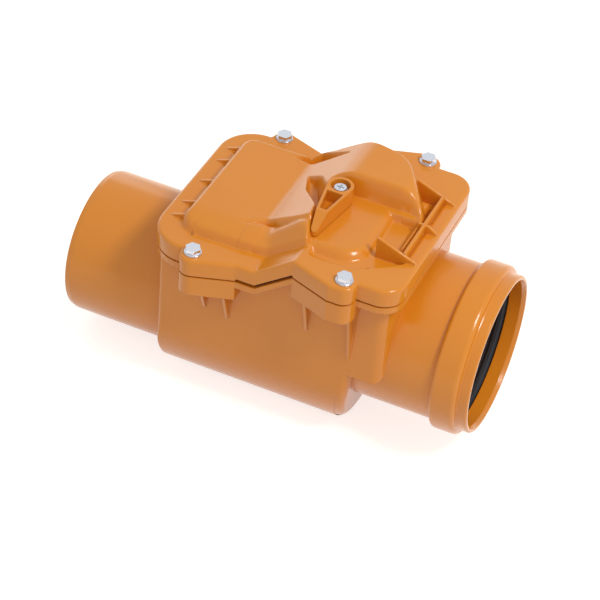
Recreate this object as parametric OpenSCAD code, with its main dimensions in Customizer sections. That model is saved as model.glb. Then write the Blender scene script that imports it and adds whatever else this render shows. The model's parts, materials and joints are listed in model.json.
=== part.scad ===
// Backwater valve for a 110 mm drain line, in millimetres.
// +X runs up the line to the inlet socket, +Z is up, and the origin is under the middle of the valve.
// Inside the modules heights count from the outlet axis; lift() then stands the valve on z = 0.

/* [Pipe ends] */
// Outside diameter of the drain pipe
pipe_od = 110; // [109:0.5:111]
// Wall of the spigot and of the inlet throat
pipe_wall = 3.2; // [2.8:0.1:3.6]
// Length of the plain spigot outside the chamber
spigot_len = 82; // [70:1:100]
// Radial play of a pipe in the socket
socket_play = 0.3; // [0.2:0.05:0.4]
// Depth from the socket mouth to the pipe stop
socket_depth = 58; // [54:1:60]
// Length of the neck and bell outside the chamber
neck_len = 63; // [61:1:72]
// Height of the inlet axis over the outlet axis
inlet_rise = 21; // [20:0.5:22]

/* [Chamber] */
// Length of the chamber at the cover
chamber_len = 177; // [175:1:180]
// Radius of the round belly, also half the chamber's width
belly_r = 65; // [65:0.5:66]
// Wall thickness of the mouldings
wall = 4; // [3.6:0.1:4.2]
// Width of the flat that the valve stands on
base_w = 40; // [36:1:44]
// Lean of the flap's seat away from the vertical, in degrees
seat_tilt = 8.5; // [8:0.25:9]

/* [Cover joint] */
// Height of the low joint face over the outlet axis
joint_z = 72; // [71.5:0.25:72.5]
// Thickness of the body's flange
flange_t = 5; // [4.5:0.5:7]
// Depth of the bolt ears under the joint face
ear_t = 16; // [15:0.5:17]
// Thickness of the rubber gasket
gasket_t = 2.5; // [2:0.1:3]
// Overhang of the flanges past the chamber's ends
flange_over = 7.5; // [7:0.5:8]
// Overhang of the flanges past the chamber's sides
flange_side = 10; // [9.5:0.5:10.5]
// Radius of the flange corners at the outlet end
corner_r = 28; // [25:1:30]
// Radius of the flange corners at the inlet end
inlet_flange_r = 17; // [15:1:20]
// Radius of the bolt ears
ear_r = 9.5; // [9:0.25:10]

/* [Cover] */
// Thickness of the cover's rim over the gasket
rim_t = 12.5; // [12:0.25:13]
// Height of the low dome over the rim
low_dome_h = 10.6; // [10:0.2:11]
// Height of the high dome over the raised rim
high_dome_h = 18; // [17.5:0.25:18.5]
// Height of the lever's floor over the raised rim
lever_floor_h = 2; // [1.5:0.25:2.5]
// Width of the stiffening ribs
rib_t = 2.4; // [2:0.2:3]

/* [Lock] */
// Reach of the lever from its pivot
lever_reach = 46; // [44:0.5:47]
// Radius of the lever's head
lever_head_r = 9.5; // [9:0.25:10]
// Height of the lever
lever_h = 13.4; // [13:0.2:14]
// Radius of the spindle
spindle_r = 6; // [5.5:0.1:6.4]
// Running clearance of the spindle and of the hinge
run_play = 0.08; // [0.05:0.01:0.1]
// Reach of the locking finger
finger_reach = 35; // [34:0.25:35.25]

/* [Flap] */
// Radius of the flap
flap_r = 57; // [56.5:0.1:57.5]
// Thickness of the flap plate
flap_t = 4; // [3.6:0.1:4.4]
// Radius of the hinge pin
pin_r = 3; // [2.6:0.1:3.2]

/* [Fasteners] */
// Thread radius of the cover bolts
bolt_r = 3; // [2.8:0.1:3.1]
// Width of the bolt heads and nuts across the flats
bolt_af = 10; // [9.6:0.1:10.2]

/* [Hidden] */
$fn = 64;
EPS = 0.01;

// Overshoot of a cut past the face that it opens, and a height that clears the whole valve
cut = 1;
tall = 200;

// Pipe ends
pipe_r = pipe_od / 2;
bore_r = pipe_r - pipe_wall;
socket_r = pipe_r + socket_play;
socket_wall = 3.7;
neck_r = socket_r + socket_wall;
bell_rise = 5;
bell_r = neck_r + bell_rise;
bell_foot_r = 3;
bell_edge_r = 4;
lip_rise = 0.6;
lip_r = neck_r + lip_rise;
lip_len = 7;
mouth_round = 1;
lead_in_w = 1.4;
lead_in_len = 3;
spigot_chamfer = 1;
spigot_chamfer_len = 4;

// Places along the line
overall_len = spigot_len + chamber_len + neck_len;
outlet_x = -overall_len / 2;
outlet_wall_x = outlet_x + spigot_len;
inlet_wall_x = outlet_wall_x + chamber_len;
mouth_x = overall_len / 2;
stop_x = mouth_x - socket_depth;

// Groove of the socket and the rubber ring in it
groove_back = 23;
groove_w = 10.5;
groove_deep = 5.5;
groove_x0 = mouth_x - groove_back;
groove_x1 = groove_x0 + groove_w;
groove_r = socket_r + groove_deep;
bell_x0 = groove_x0 - wall - 1;
bell_x1 = mouth_x - lip_len - 1;
seal_gap = 0.2;
seal_body = 2.1;
seal_lip = 2.5;
seal_lip_back = 3;
seal_reach = 0.15;

// Heights over the outlet axis
outlet_z = sqrt(pow(belly_r, 2) - pow(base_w / 2, 2));
step = inlet_rise;
cover_z = joint_z + gasket_t;
rim_z = cover_z + rim_t;
low_dome_z = rim_z + low_dome_h;
high_cover_z = cover_z + step;
high_rim_z = rim_z + step;
high_dome_z = high_rim_z + high_dome_h;
lever_floor_z = high_rim_z + lever_floor_h;

// The ramp that joins the low and the high half of the cover joint
high_len = 98;
ramp_len = 28;
ramp_x0 = inlet_wall_x - high_len;
ramp_x1 = ramp_x0 + ramp_len;

// Corners of the chamber
block_z = 14;
block_r = 8;
outlet_corner_r = 4;
seat_end_r = 6;
inlet_corner_r = 9;

// Outline of the flanges
flange_x0 = outlet_wall_x - flange_over;
flange_x1 = inlet_wall_x + flange_over;
flange_y = belly_r + flange_side;
bolt_out = 1.5;
bolt_y = flange_y + bolt_out;
low_bolt_x = ramp_x0 - 47;
high_bolt_x = ramp_x0 + 66.5;
ear_y = bolt_y + ear_r;
low_ear_len = 32.5;
low_ear_turn = 20;
high_ear_flat = 8;
gasket_inset = 4;
gasket_gap = 0.3;

// Webs under the ears: place along the line, top and length of each
web_foot = 4;
low_webs = [[low_bolt_x - 8, joint_z - ear_t, 16], [low_bolt_x + 6, joint_z - ear_t, 24],
            [low_bolt_x + 24, joint_z - ear_t, 28]];
high_webs = [[high_bolt_x - 28.5, joint_z + step - ear_t, 34], [high_bolt_x + 5, joint_z + step - ear_t, 46]];

// Seat and hinge, in the seat's own frame: x up the seat, z off it down the line
seat_wall = 5;
seat_back = 24.7;
seat_foot_x = inlet_wall_x - seat_back;
seat_x = seat_foot_x + inlet_rise * tan(seat_tilt) - seat_wall / cos(seat_tilt);
seat_top = inlet_rise + 59;
bead_h = 2;
bead_w = 3.2;
seal_z = bead_h + 0.3;
seal_t = 2.7;
seal_root_t = 1.2;
plate_z = seal_z + seal_t;
hanger_z = plate_z + flap_t;
hanger_t = 4;
hanger_half = 26;
hanger_low = -16;
hanger_shoulder = [34, 48];
hanger_window_r = 9;
hanger_window_up = 8;
hanger_rib_h = 2;
hanger_rib_y = 22;
hinge_up = 66;
hinge_off = 8;
barrel_r = 6;
barrel_half = 23;
lug_r = 7;
lug_y = 24;
lug_t = 6;
lug_play = 0.04;
pin_end = 4;
clip_t = 1;
clip_gap = 0.2;
clip_groove = 0.6;
clip_w = 3;
heel_t = 5;
heel_top = hinge_up - 0.5;
heel_off = hinge_off + 12;
heel_half = 7;
flap_screw_r = 2;
flap_screw_head_r = 4;
flap_screw_head_h = 2.4;
flap_screw_slot = 1.2;
flap_screws_at = [for (u = [28, -8], v = [-15, 15]) [u, v]];
clamp_r = bore_r + bead_w - 8.3;
clamp_hub_r = clamp_r - 6.9;

// Lock, on its vertical axis
pivot_x = ramp_x1 + 1;
finger_z = inlet_rise + 70.2;
finger_t = 5;
finger_half = 5.5;
finger_head_r = 9;
collar_z = finger_z + finger_t;
collar_t = 2;
collar_w = 3;
boss_z = collar_z + collar_t + 0.3;
boss_r = 11;
lever_z = lever_floor_z + 0.6;
lever_top = lever_z + lever_h;
lever_web_z = lever_top - 8;
lever_well_z = lever_top - 5;
lever_wall = 2.4;
lever_tray_z = lever_z + 3.5;
lever_nose_y = 33;
lever_nose_r = 2.6;
lever_nose_h = 3;
square_top = 8;
square_low = 7;
square_play = 0.05;
ring_up = [2.6, 6.8];
ring_z = [for (up = ring_up) boss_z + up];
ring_wire = 0.7;
ring_r = spindle_r - 0.64;
ring_play = 0.1;
lever_screw_r = 2.4;
lever_screw_head_r = 4.4;
lever_screw_head_h = 2.6;
lever_screw_len = 12;
lever_washer_r = 5.4;
lever_washer_t = 0.8;
finger_screw_r = 1.8;
finger_screw_head_r = 3.6;
finger_screw_head_h = 2.4;
finger_screw_len = 6;
finger_washer_r = 6;
finger_washer_t = 1;
screw_play = 0.03;
washer_play = 0.2;

// Cover fasteners
washer_t = 1;
washer_r = 6.3;
head_h = 3;
head_flange_t = 0.8;
nut_h = 5;
nut_play = 0.2;
thread_end = 1;
bolt_hole_r = bolt_r + 0.3;

// Domes of the cover: half widths, soft edges and where they end along the line
dome_round = 6;
dome_half = belly_r - 12;
dome_foot = 5;
dome_corner = 14;
low_dome_x0 = outlet_wall_x + 12.5;
low_dome_x1 = ramp_x0 - 10;
slope_x = ramp_x0 - 12;
slope_half = 33;
crest_x = ramp_x0 + 25;
brim_r = 4;
back_y = dome_half + 1.4;
high_plan = [[-12, -33], [-12, 33], [-4, 40], [25, 54.4], [65, 52], [75, 36], [87, 16], [91, 6],
             [91, 0], [26, 0], [26, -30], [10, -31]];
ridge_from = [-20, -43];
ridge_to = [22, -37];
ridge_r = 5;
ridge_foot = 11;
valley_plan = [[-16, -8], [0, 0], [22, 3], [17, -5], [4, -9.5]];
valley_pitch = 17;

// Recess that the lever sweeps, its table and the well round the table
recess_left = -12;
recess_back = 11;
recess_right = 58;
recess_end = 12;
table_x0 = pivot_x - 11;
table_x1 = ramp_x0 + 67.5;
table_y = 50;
table_round = 8;
table_corner = 20;
strip_y = 5;
strip_round = 3;
well_z = high_rim_z - 4;
well_y = 60;
notch_at = [0, 21.5];
notch_turn = 23;
notch_w = 10.4;
notch_len = 27;
notch_z = lever_floor_z - 10;

// Fins of the cover
fin_y = 37;
fin_start = 73;
fin_over = 6;
fin_x0 = ramp_x0 + fin_start;
fin_x1 = inlet_wall_x + fin_over;
cross_x = inlet_wall_x - 4.5;
cross_h = 6.5;
gusset_at = [-45, -28, 0, 28, 45];
gusset_h = 4.5;
gusset_len = 13;

PVC = "#D98B45";
RUBBER = "#22242A";
STEEL = "#C9CDD2";
GREY = "#8E9297";

// Points along an arc about c, from angle a to angle b
function arc(c, r, a, b, n = 10) = [
    for (i = [0 : n]) let (t = a + (b - a) * i / n) c + r * [cos(t), sin(t)]];

// A rectangle with a radius at each end's corners
function round_box(x0, x1, y, r0, r1) = concat(
    arc([x0 + r0, -y + r0], r0, 180, 270),
    arc([x1 - r1, -y + r1], r1, 270, 360),
    arc([x1 - r1, y - r1], r1, 0, 90),
    arc([x0 + r0, y - r0], r0, 90, 180));

// Section of the chamber across the line: straight sides, a round belly and the flat under it
function belly(r, floor_z, top_z) = let (a = asin(floor_z / r)) concat(
    [[r, top_z], [-r, top_z]],
    arc([0, 0], r, 180, 180 + a, 14),
    arc([0, 0], r, 360 - a, 360, 14));

module lift() translate([0, 0, outlet_z]) children();

// Turns a drawing in x and height into a slab along the line, of half width y
module side_slab(y) rotate([90, 0, 0]) linear_extrude(2 * y, center = true) children();

// Turns a drawing in y and height into a bar along the line
module along(x0, x1) translate([x0, 0, 0]) rotate([90, 0, 90]) linear_extrude(x1 - x0) children();

// Turns a drawing in radius and distance into a round shape about the line at height z
module about_line(z) translate([0, 0, z]) rotate([0, 90, 0]) rotate_extrude($fn = 128) children();

module seat_frame() translate([seat_x, 0, inlet_rise]) rotate([0, seat_tilt - 90, 0]) children();

module at_pivot() translate([pivot_x, 0, 0]) children();

module both_sides() for (s = [0, 1]) mirror([0, s, 0]) children();

// Band between two heights that climbs the ramp
module stepped_band(z0, z1) side_slab(ear_y + 5) polygon([
    [flange_x0 - 5, z0], [ramp_x0, z0], [ramp_x1, z0 + step], [flange_x1 + 5, z0 + step],
    [flange_x1 + 5, z1 + step], [ramp_x1, z1 + step], [ramp_x0, z1], [flange_x0 - 5, z1]]);

module flange_plan() polygon(round_box(flange_x0, flange_x1, flange_y, corner_r, inlet_flange_r));

// Plans of the ears, from their outer edge in to y = -inner
module low_ear_plan(inner) polygon(concat(
    arc([low_bolt_x, -bolt_y], ear_r, 180, 270 + low_ear_turn),
    [[low_bolt_x + low_ear_len, -flange_y], [low_bolt_x + low_ear_len, -inner],
     [low_bolt_x - ear_r, -inner]]));

module high_ear_plan(inner) polygon(concat(
    arc([high_bolt_x, -bolt_y], ear_r, 270, 360),
    [[high_bolt_x + ear_r, -inner], [ramp_x1, -inner], [ramp_x1, -flange_y],
     [high_bolt_x - high_ear_flat, -ear_y]]));

// Stacks the four ears between heights counted on the low side of the step
module ears(z0, z1, inner) both_sides() {
    translate([0, 0, z0]) linear_extrude(z1 - z0) low_ear_plan(inner);
    translate([0, 0, z0 + step]) linear_extrude(z1 - z0) high_ear_plan(inner);
}

// Repeats a fastener at the four bolts, from its height over the low joint
module at_bolts() both_sides() {
    translate([low_bolt_x, -bolt_y, 0]) children();
    translate([high_bolt_x, -bolt_y, step]) children();
}

module hexagon(af, h) cylinder(r = af / sqrt(3), h = h, $fn = 6);

// Chamber between three drawings: across the line, from the side and from above, less its sharp inlet edge
module chamber_block() difference() {
    intersection() {
        along(outlet_wall_x, inlet_wall_x) polygon(belly(belly_r, outlet_z, joint_z + step + 5));
        side_slab(belly_r + 1) polygon(concat(
            [[outlet_wall_x, -belly_r], [seat_foot_x - belly_r * tan(seat_tilt), -belly_r],
             [seat_foot_x + block_z * tan(seat_tilt), block_z]],
            arc([inlet_wall_x - block_r, block_z + block_r], block_r, 270, 360, 6),
            [[inlet_wall_x, joint_z + step], [ramp_x1, joint_z + step], [ramp_x0, joint_z],
             [outlet_wall_x, joint_z]]));
        translate([0, 0, -belly_r]) linear_extrude(3 * belly_r)
            polygon(round_box(outlet_wall_x, inlet_wall_x, belly_r, outlet_corner_r, inlet_corner_r));
    }
    translate([seat_foot_x, 0, 0]) rotate([0, seat_tilt, 0]) {
        belly_edge();
        both_sides() linear_extrude(block_z) mirror([1, -1]) mirror([1, 0]) polygon(edge_cut);
    }
}

// What the round edge takes off the belly's inlet end, in radius and distance past the end
edge_cut = concat([[belly_r + cut, -seat_end_r], [belly_r + cut, cut], [belly_r - seat_end_r, cut]],
    arc([belly_r - seat_end_r, -seat_end_r], seat_end_r, 90, 0, 8));

// That cut carried round the lower half of the belly, with the end at x = 0
module belly_edge() intersection() {
    about_line(0) polygon(edge_cut);
    translate([-2 * seat_end_r, -tall / 2, -tall]) cube([4 * seat_end_r, tall, tall]);
}

module chamber_hollow() intersection() {
    along(outlet_wall_x + wall, inlet_wall_x - wall)
        polygon(belly(belly_r - wall, outlet_z - wall, joint_z + step + cut));
    side_slab(belly_r) polygon([
        [outlet_wall_x, -belly_r],
        [seat_x - (inlet_rise + belly_r) * tan(seat_tilt), -belly_r],
        [seat_x + (seat_top - inlet_rise) * tan(seat_tilt), seat_top],
        [inlet_wall_x, seat_top + wall], [inlet_wall_x, joint_z + step + cut],
        [outlet_wall_x, joint_z + step + cut]]);
}

module spigot() about_line(0) polygon([
    [bore_r, outlet_x], [pipe_r - spigot_chamfer, outlet_x], [pipe_r, outlet_x + spigot_chamfer_len],
    [pipe_r, outlet_wall_x + wall / 2], [bore_r, outlet_wall_x + wall / 2]]);

// Neck, bell and lip as one turned profile, drawn along the line and then turned over
module inlet_neck() about_line(inlet_rise) mirror([1, -1]) polygon(concat(
    [[seat_x, bore_r], [seat_x, neck_r], [bell_x0, neck_r]],
    arc([bell_x0 + bell_foot_r, bell_r - bell_foot_r], bell_foot_r, 180, 90, 6),
    arc([bell_x1 - bell_edge_r, bell_r - bell_edge_r], bell_edge_r, 90, 0, 6),
    [[mouth_x - lip_len, lip_r], [mouth_x - mouth_round, lip_r], [mouth_x, lip_r - mouth_round],
     [mouth_x, bore_r]]));

module inlet_bores() {
    about_line(inlet_rise) polygon([
        [0, stop_x], [socket_r, stop_x], [socket_r, mouth_x - lead_in_len],
        [socket_r + lead_in_w, mouth_x + EPS], [0, mouth_x + EPS]]);
    about_line(inlet_rise) translate([socket_r - cut, groove_x0]) square([groove_deep + cut, groove_w]);
    translate([outlet_wall_x, 0, inlet_rise]) rotate([0, 90, 0]) intersection() {
        cylinder(r = bore_r, h = stop_x - outlet_wall_x + EPS);
        translate([-bore_r, -bore_r, seat_x - outlet_wall_x - seat_back])
            cube([2 * bore_r, 2 * bore_r, stop_x - seat_x + 2 * seat_back]);
    }
}

module hinge_lugs() seat_frame() both_sides()
    translate([0, lug_y, 0]) rotate([-90, 0, 0]) linear_extrude(lug_t) {
        translate([hinge_up, -hinge_off]) circle(lug_r);
        polygon([[hinge_up - 13, 2], [hinge_up - 6, 2], [hinge_up + 3, -hinge_off + 5],
                 [hinge_up, -hinge_off], [hinge_up - 3, -hinge_off - 5]]);
    }

// Upright webs that carry the ears, tapering into the chamber's side
module ear_webs() both_sides() {
    for (w = concat(low_webs, high_webs)) ear_web(w[0], w[1], w[2]);
}

module ear_web(x, z, drop) translate([x - rib_t / 2, 0, 0]) rotate([90, 0, 90]) linear_extrude(rib_t)
    polygon([[-belly_r + cut, z + cut], [-flange_y + cut, z + cut], [-flange_y + cut, z - web_foot],
             [-belly_r - rib_t / 2, z - drop], [-belly_r + cut, z - drop]]);

module body() color(PVC) difference() {
    union() {
        chamber_block();
        intersection() {
            stepped_band(joint_z - flange_t, joint_z);
            linear_extrude(tall) flange_plan();
        }
        ears(joint_z - ear_t, joint_z, belly_r);
        ear_webs();
        spigot();
        inlet_neck();
    }
    difference() {
        chamber_hollow();
        seat_frame() rotate_extrude($fn = 128) translate([bore_r - cut, -cut])
            square([bead_w + cut, bead_h + cut]);
        hinge_lugs();
    }
    inlet_bores();
    translate([outlet_x - cut, 0, 0]) rotate([0, 90, 0])
        cylinder(r = bore_r, h = spigot_len + wall + 2 * cut);
    seat_frame() translate([hinge_up, 0, hinge_off]) rotate([90, 0, 0])
        cylinder(r = pin_r + lug_play, h = 2 * (lug_y + lug_t + cut), center = true);
    at_bolts() translate([0, 0, joint_z - ear_t - cut]) {
        cylinder(r = bolt_hole_r, h = ear_t + 2 * cut);
        hexagon(bolt_af + 2 * nut_play, nut_h + nut_play + cut);
    }
}

module inlet_seal() color(RUBBER) about_line(inlet_rise) polygon([
    [groove_r - seal_gap, groove_x0 + seal_gap], [groove_r - seal_gap, groove_x1 - seal_gap],
    [socket_r + seal_body, groove_x1 - seal_gap], [socket_r - seal_reach, groove_x1 - seal_lip_back],
    [socket_r - seal_reach, groove_x1 - seal_lip_back - seal_lip],
    [socket_r + seal_body, groove_x0 + seal_lip_back], [socket_r + seal_body, groove_x0 + seal_gap]]);

// Drawing with a flat top, a soft edge at each end and flanks that widen to the foot
function soft_top(u0, u1, r, foot, z0, z1) = concat(
    [[u0 - foot, z0]], arc([u0 + r, z1 - r], r, 165, 90, 6),
    arc([u1 - r, z1 - r], r, 90, 15, 6), [[u1 + foot, z0]]);

// Low half of the dome
module low_dome() intersection() {
    side_slab(flange_y)
        polygon(soft_top(low_dome_x0, low_dome_x1, dome_round, dome_foot, rim_z - cut, low_dome_z));
    along(flange_x0, ramp_x1)
        polygon(soft_top(-dome_half, dome_half, dome_round, dome_foot, rim_z - cut, low_dome_z));
    linear_extrude(tall) polygon(round_box(low_dome_x0 - dome_foot, low_dome_x1 + dome_foot,
                                           dome_half + dome_foot, dome_corner, dome_corner));
}

// Central slope and high half of the dome; the lever's recess later takes its front
module high_dome() intersection() {
    side_slab(flange_y) polygon(concat(
        [[slope_x, rim_z - cut], [slope_x, low_dome_z], [crest_x - brim_r, high_dome_z - 0.75 * brim_r],
         [crest_x, high_dome_z - 1], [crest_x + brim_r, high_dome_z]],
        [[cross_x - 21, high_dome_z], [cross_x - 12, high_dome_z - 1.5], [cross_x - 5, high_dome_z - 6],
         [cross_x - 2.5, well_z - cut], [ramp_x1, well_z - cut], [ramp_x0, rim_z - cut]]));
    along(slope_x - cut, cross_x)
        polygon(soft_top(-back_y, back_y, brim_r, dome_foot, rim_z - cut, high_dome_z));
    linear_extrude(tall) polygon([for (q = high_plan) [ramp_x0 + q[0], q[1]]]);
}

// Soft ridge along each side of the slope, from the low dome up to the lever's table
module ramp_ridges() both_sides() {
    run = ridge_to - ridge_from;
    climb = lever_floor_z - low_dome_z;
    translate([ramp_x0 + ridge_from[0], ridge_from[1], low_dome_z - 0.4])
        rotate([0, 0, atan(run[1] / run[0])]) rotate([90 - atan(climb / norm(run)), 0, 90])
            linear_extrude(norm([run[0], run[1], climb])) polygon(concat(
                [[-ridge_foot, -ridge_foot]], arc([-ridge_r / 2, -ridge_r], ridge_r, 150, 45, 8),
                [[ridge_r, -ridge_foot]]));
}

// Table that the lever turns over, with a soft front and right edge and a wide corner between them
module lever_table() intersection() {
    side_slab(flange_y) polygon(concat(
        [[table_x0, high_cover_z + cut], [table_x0, lever_floor_z]],
        arc([table_x1 - table_round, lever_floor_z - table_round], table_round, 90, 12, 8),
        [[table_x1 + 1, high_cover_z + cut]]));
    along(table_x0 - cut, inlet_wall_x) polygon(concat(
        [[recess_back + cut, high_cover_z + cut], [recess_back + cut, lever_floor_z]],
        arc([table_round - table_y, lever_floor_z - table_round], table_round, 90, 165, 8),
        [[-table_y - dome_foot, high_cover_z + cut]]));
    linear_extrude(tall) polygon(concat(
        [[table_x0, recess_back + cut], [table_x0, -table_y - dome_foot]],
        arc([table_x1 - table_corner, table_corner - table_y - dome_foot / 2], table_corner, 270, 360),
        [[table_x1, recess_back + cut]]));
}

// Ledge along the foot of the recess's back wall
module lever_strip() along(pivot_x, pivot_x + recess_right) polygon(concat(
    [[strip_y + recess_back, high_cover_z + cut], [strip_y + recess_back, lever_floor_z - EPS]],
    arc([strip_y + strip_round, lever_floor_z - strip_round - EPS], strip_round, 90, 180, 6),
    [[strip_y, high_cover_z + cut]]));

// Plan of the recess that the lever sweeps, open to the front
module recess_plan() {
    circle(lever_head_r + 3.5);
    polygon(concat([[recess_left, 0], [0, recess_back]],
        arc([recess_right - recess_end, recess_back - recess_end], recess_end, 90, 0, 8),
        [[tall, recess_back - recess_end], [tall, -tall], [recess_left + 4, -tall],
         [recess_left + 4, -lever_reach + 11]]));
}

// Plan of the sunk well between the table, the rim and the fins
module well_plan() polygon([
    [ramp_x1, -well_y], [table_x1, -well_y], [cross_x, -fin_y], [cross_x, fin_y], [table_x1, fin_y],
    [table_x1, 0], [ramp_x1, 0]]);

// Wedge-shaped valley between the slope's edge and the ridge
module ramp_pocket() translate([slope_x, -slope_half, low_dome_z - dome_foot]) rotate([0, -valley_pitch, 0])
    linear_extrude(tall) polygon(valley_plan);

// Fins and ribs on both ends of the cover
module cover_fins() {
    both_sides() translate([0, fin_y, 0]) fin([
        [fin_x0, well_z - cut], [fin_x0, high_dome_z - 4.5], [fin_x1 - 2, high_rim_z + rib_t],
        [fin_x1, high_rim_z - cut]]);
    fin([[cross_x - 4.5, well_z - cut], [cross_x - 4.5, high_dome_z - 7], [cross_x + 4.5, high_rim_z + 6],
         [fin_x1, high_rim_z + 1], [fin_x1, well_z - cut]]);
    translate([cross_x - rib_t / 2, -fin_y, well_z - cut])
        cube([rib_t, 2 * fin_y, high_rim_z + cross_h - well_z + cut]);
    for (y = gusset_at) translate([0, y, 0]) fin([
        [low_dome_x0 + 2, rim_z - cut], [low_dome_x0 + 2, rim_z + gusset_h + 2],
        [low_dome_x0 - 2, rim_z + gusset_h], [low_dome_x0 - gusset_len, rim_z + 0.6],
        [low_dome_x0 - gusset_len, rim_z - cut]]);
}

module fin(points) side_slab(rib_t / 2) polygon(points);

// Room under the domes, for the lock and for an even wall
module cover_hollow() {
    translate([low_dome_x0 + wall, wall - dome_half + 5, 0])
        cube([slope_x - 16 - low_dome_x0 - 2 * wall, 2 * (dome_half - wall - 5), low_dome_z - wall]);
    translate([slope_x - 27, -20, 0]) cube([40, 40, low_dome_z - wall]);
    intersection() {
        at_pivot() cylinder(r = finger_reach + 2, h = boss_z + 1.5);
        translate([pivot_x - boss_r, -tall / 2, 0]) cube([tall, tall, tall]);
    }
    translate([pivot_x - boss_r, 14 - table_y, 0])
        cube([table_x1 - pivot_x + boss_r - table_round, table_y - 7, lever_floor_z - wall]);
    translate([seat_x - heel_off + 4, -heel_half - 5, 0])
        cube([heel_off + 6, 2 * heel_half + 10, boss_z + 2]);
    translate([ramp_x0 + 36, recess_back + 5, 0]) cube([24, 26, high_dome_z - wall]);
}

module cover() color(PVC) difference() {
    union() {
        difference() {
            intersection() {
                stepped_band(cover_z, rim_z);
                linear_extrude(tall) flange_plan();
            }
            translate([0, 0, well_z]) linear_extrude(tall) well_plan();
        }
        ears(joint_z, cover_z + EPS, flange_y - gasket_inset + gasket_gap);
        ears(cover_z, rim_z, belly_r);
        difference() {
            union() {
                low_dome();
                ramp_ridges();
            }
            both_sides() ramp_pocket();
        }
        difference() {
            high_dome();
            at_pivot() translate([0, 0, lever_floor_z]) linear_extrude(tall) recess_plan();
            translate([pivot_x, strip_y - tall, well_z]) cube([tall, tall, tall]);
            translate([ramp_x0 + notch_at[0], notch_at[1], notch_z]) rotate([0, 0, notch_turn])
                translate([-notch_w / 2, -notch_len, 0]) cube([notch_w, notch_len, tall]);
        }
        lever_table();
        lever_strip();
        cover_fins();
    }
    difference() {
        cover_hollow();
        at_pivot() translate([0, 0, boss_z]) cylinder(r = boss_r, h = tall);
    }
    at_pivot() cylinder(r = spindle_r + run_play, h = tall);
    at_bolts() translate([0, 0, joint_z - cut]) cylinder(r = bolt_hole_r, h = tall);
}

module cover_gasket() color(RUBBER) intersection() {
    stepped_band(joint_z, cover_z);
    linear_extrude(tall) difference() {
        polygon(round_box(flange_x0 + gasket_inset, flange_x1 - gasket_inset, flange_y - gasket_inset,
                          corner_r - gasket_inset, inlet_flange_r - gasket_inset));
        polygon(round_box(outlet_wall_x + wall, inlet_wall_x - wall, belly_r - wall, outlet_corner_r / 2,
                          inlet_corner_r - 2));
    }
}

module cover_bolts() color(STEEL) at_bolts() {
    translate([0, 0, joint_z - ear_t - thread_end])
        cylinder(r = bolt_r, h = rim_z + washer_t - joint_z + ear_t + thread_end + cut / 2);
    translate([0, 0, rim_z + washer_t]) cylinder(r = bolt_af / 2 + 1, h = head_flange_t);
    translate([0, 0, rim_z + washer_t]) hexagon(bolt_af, head_h + head_flange_t);
}

module bolt_washers() color(STEEL) at_bolts() translate([0, 0, rim_z]) difference() {
    cylinder(r = washer_r, h = washer_t);
    translate([0, 0, -cut]) cylinder(r = bolt_r + washer_play, h = washer_t + 2 * cut);
}

module cover_nuts() color(STEEL) at_bolts() translate([0, 0, joint_z - ear_t + nut_play]) difference() {
    hexagon(bolt_af, nut_h);
    translate([0, 0, -cut]) cylinder(r = bolt_r + screw_play, h = nut_h + 2 * cut);
}

// Places a shape that stands along z on the hinge axis
module on_hinge() seat_frame() translate([hinge_up, 0, hinge_off]) rotate([90, 0, 0]) children();

// Places a shape at the middle of each clip's groove
module at_clips() for (s = [-1, 1]) translate([0, 0, s * (lug_y + lug_t + clip_gap + clip_t / 2)]) children();

module hinge_pin() color(STEEL) on_hinge() difference() {
    cylinder(r = pin_r, h = 2 * (lug_y + lug_t + pin_end), center = true);
    at_clips() difference() {
        cylinder(r = pin_r + cut, h = clip_t, center = true);
        cylinder(r = pin_r - clip_groove, h = clip_t + cut, center = true);
    }
}

module hinge_pin_clips() color(STEEL) on_hinge() at_clips() difference() {
    cylinder(r = pin_r + clip_w - clip_groove, h = clip_t - 0.1, center = true);
    cylinder(r = pin_r - clip_groove + lug_play, h = clip_t + cut, center = true);
    translate([0, -pin_r - 2, 0]) cube([2 * (pin_r - cut), 2 * (pin_r + 2), clip_t + cut], center = true);
}

module flap_screw_holes(r) for (p = flap_screws_at) translate([p[0], p[1], 0])
    cylinder(r = r, h = hanger_z + hanger_t + cut);

module flap_plate() color(GREY) seat_frame() difference() {
    translate([0, 0, plate_z]) cylinder(r = flap_r, h = flap_t, $fn = 128);
    flap_screw_holes(flap_screw_r + washer_play / 2);
}

module flap_seal() color(RUBBER) seat_frame() rotate_extrude($fn = 128) polygon([
    [clamp_hub_r + seal_gap, plate_z - seal_root_t], [clamp_r + seal_gap, plate_z - seal_root_t],
    [clamp_r + seal_gap, seal_z + seal_root_t / 2], [clamp_r + seal_t, seal_z], [flap_r - 1.5, seal_z],
    [flap_r - 0.5, seal_z + 1], [flap_r - 0.5, plate_z], [clamp_hub_r + seal_gap, plate_z]]);

module seal_clamp_disc() color(STEEL) seat_frame() difference() {
    union() {
        translate([0, 0, seal_z]) cylinder(r = clamp_r, h = plate_z - seal_z - seal_root_t);
        translate([0, 0, seal_z]) cylinder(r = clamp_hub_r, h = plate_z - seal_z);
    }
    flap_screw_holes(flap_screw_r + screw_play);
}

module flap_screws() color(STEEL) seat_frame() for (p = flap_screws_at) translate([p[0], p[1], 0]) {
    translate([0, 0, seal_z + 0.3]) cylinder(r = flap_screw_r, h = hanger_z + hanger_t - seal_z);
    translate([0, 0, hanger_z + hanger_t]) difference() {
        cylinder(r = flap_screw_head_r, h = flap_screw_head_h);
        translate([-flap_screw_slot / 2, -flap_screw_head_r - cut, flap_screw_head_h - flap_screw_slot])
            cube([flap_screw_slot, 2 * (flap_screw_head_r + cut), flap_screw_slot + cut]);
    }
}

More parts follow.
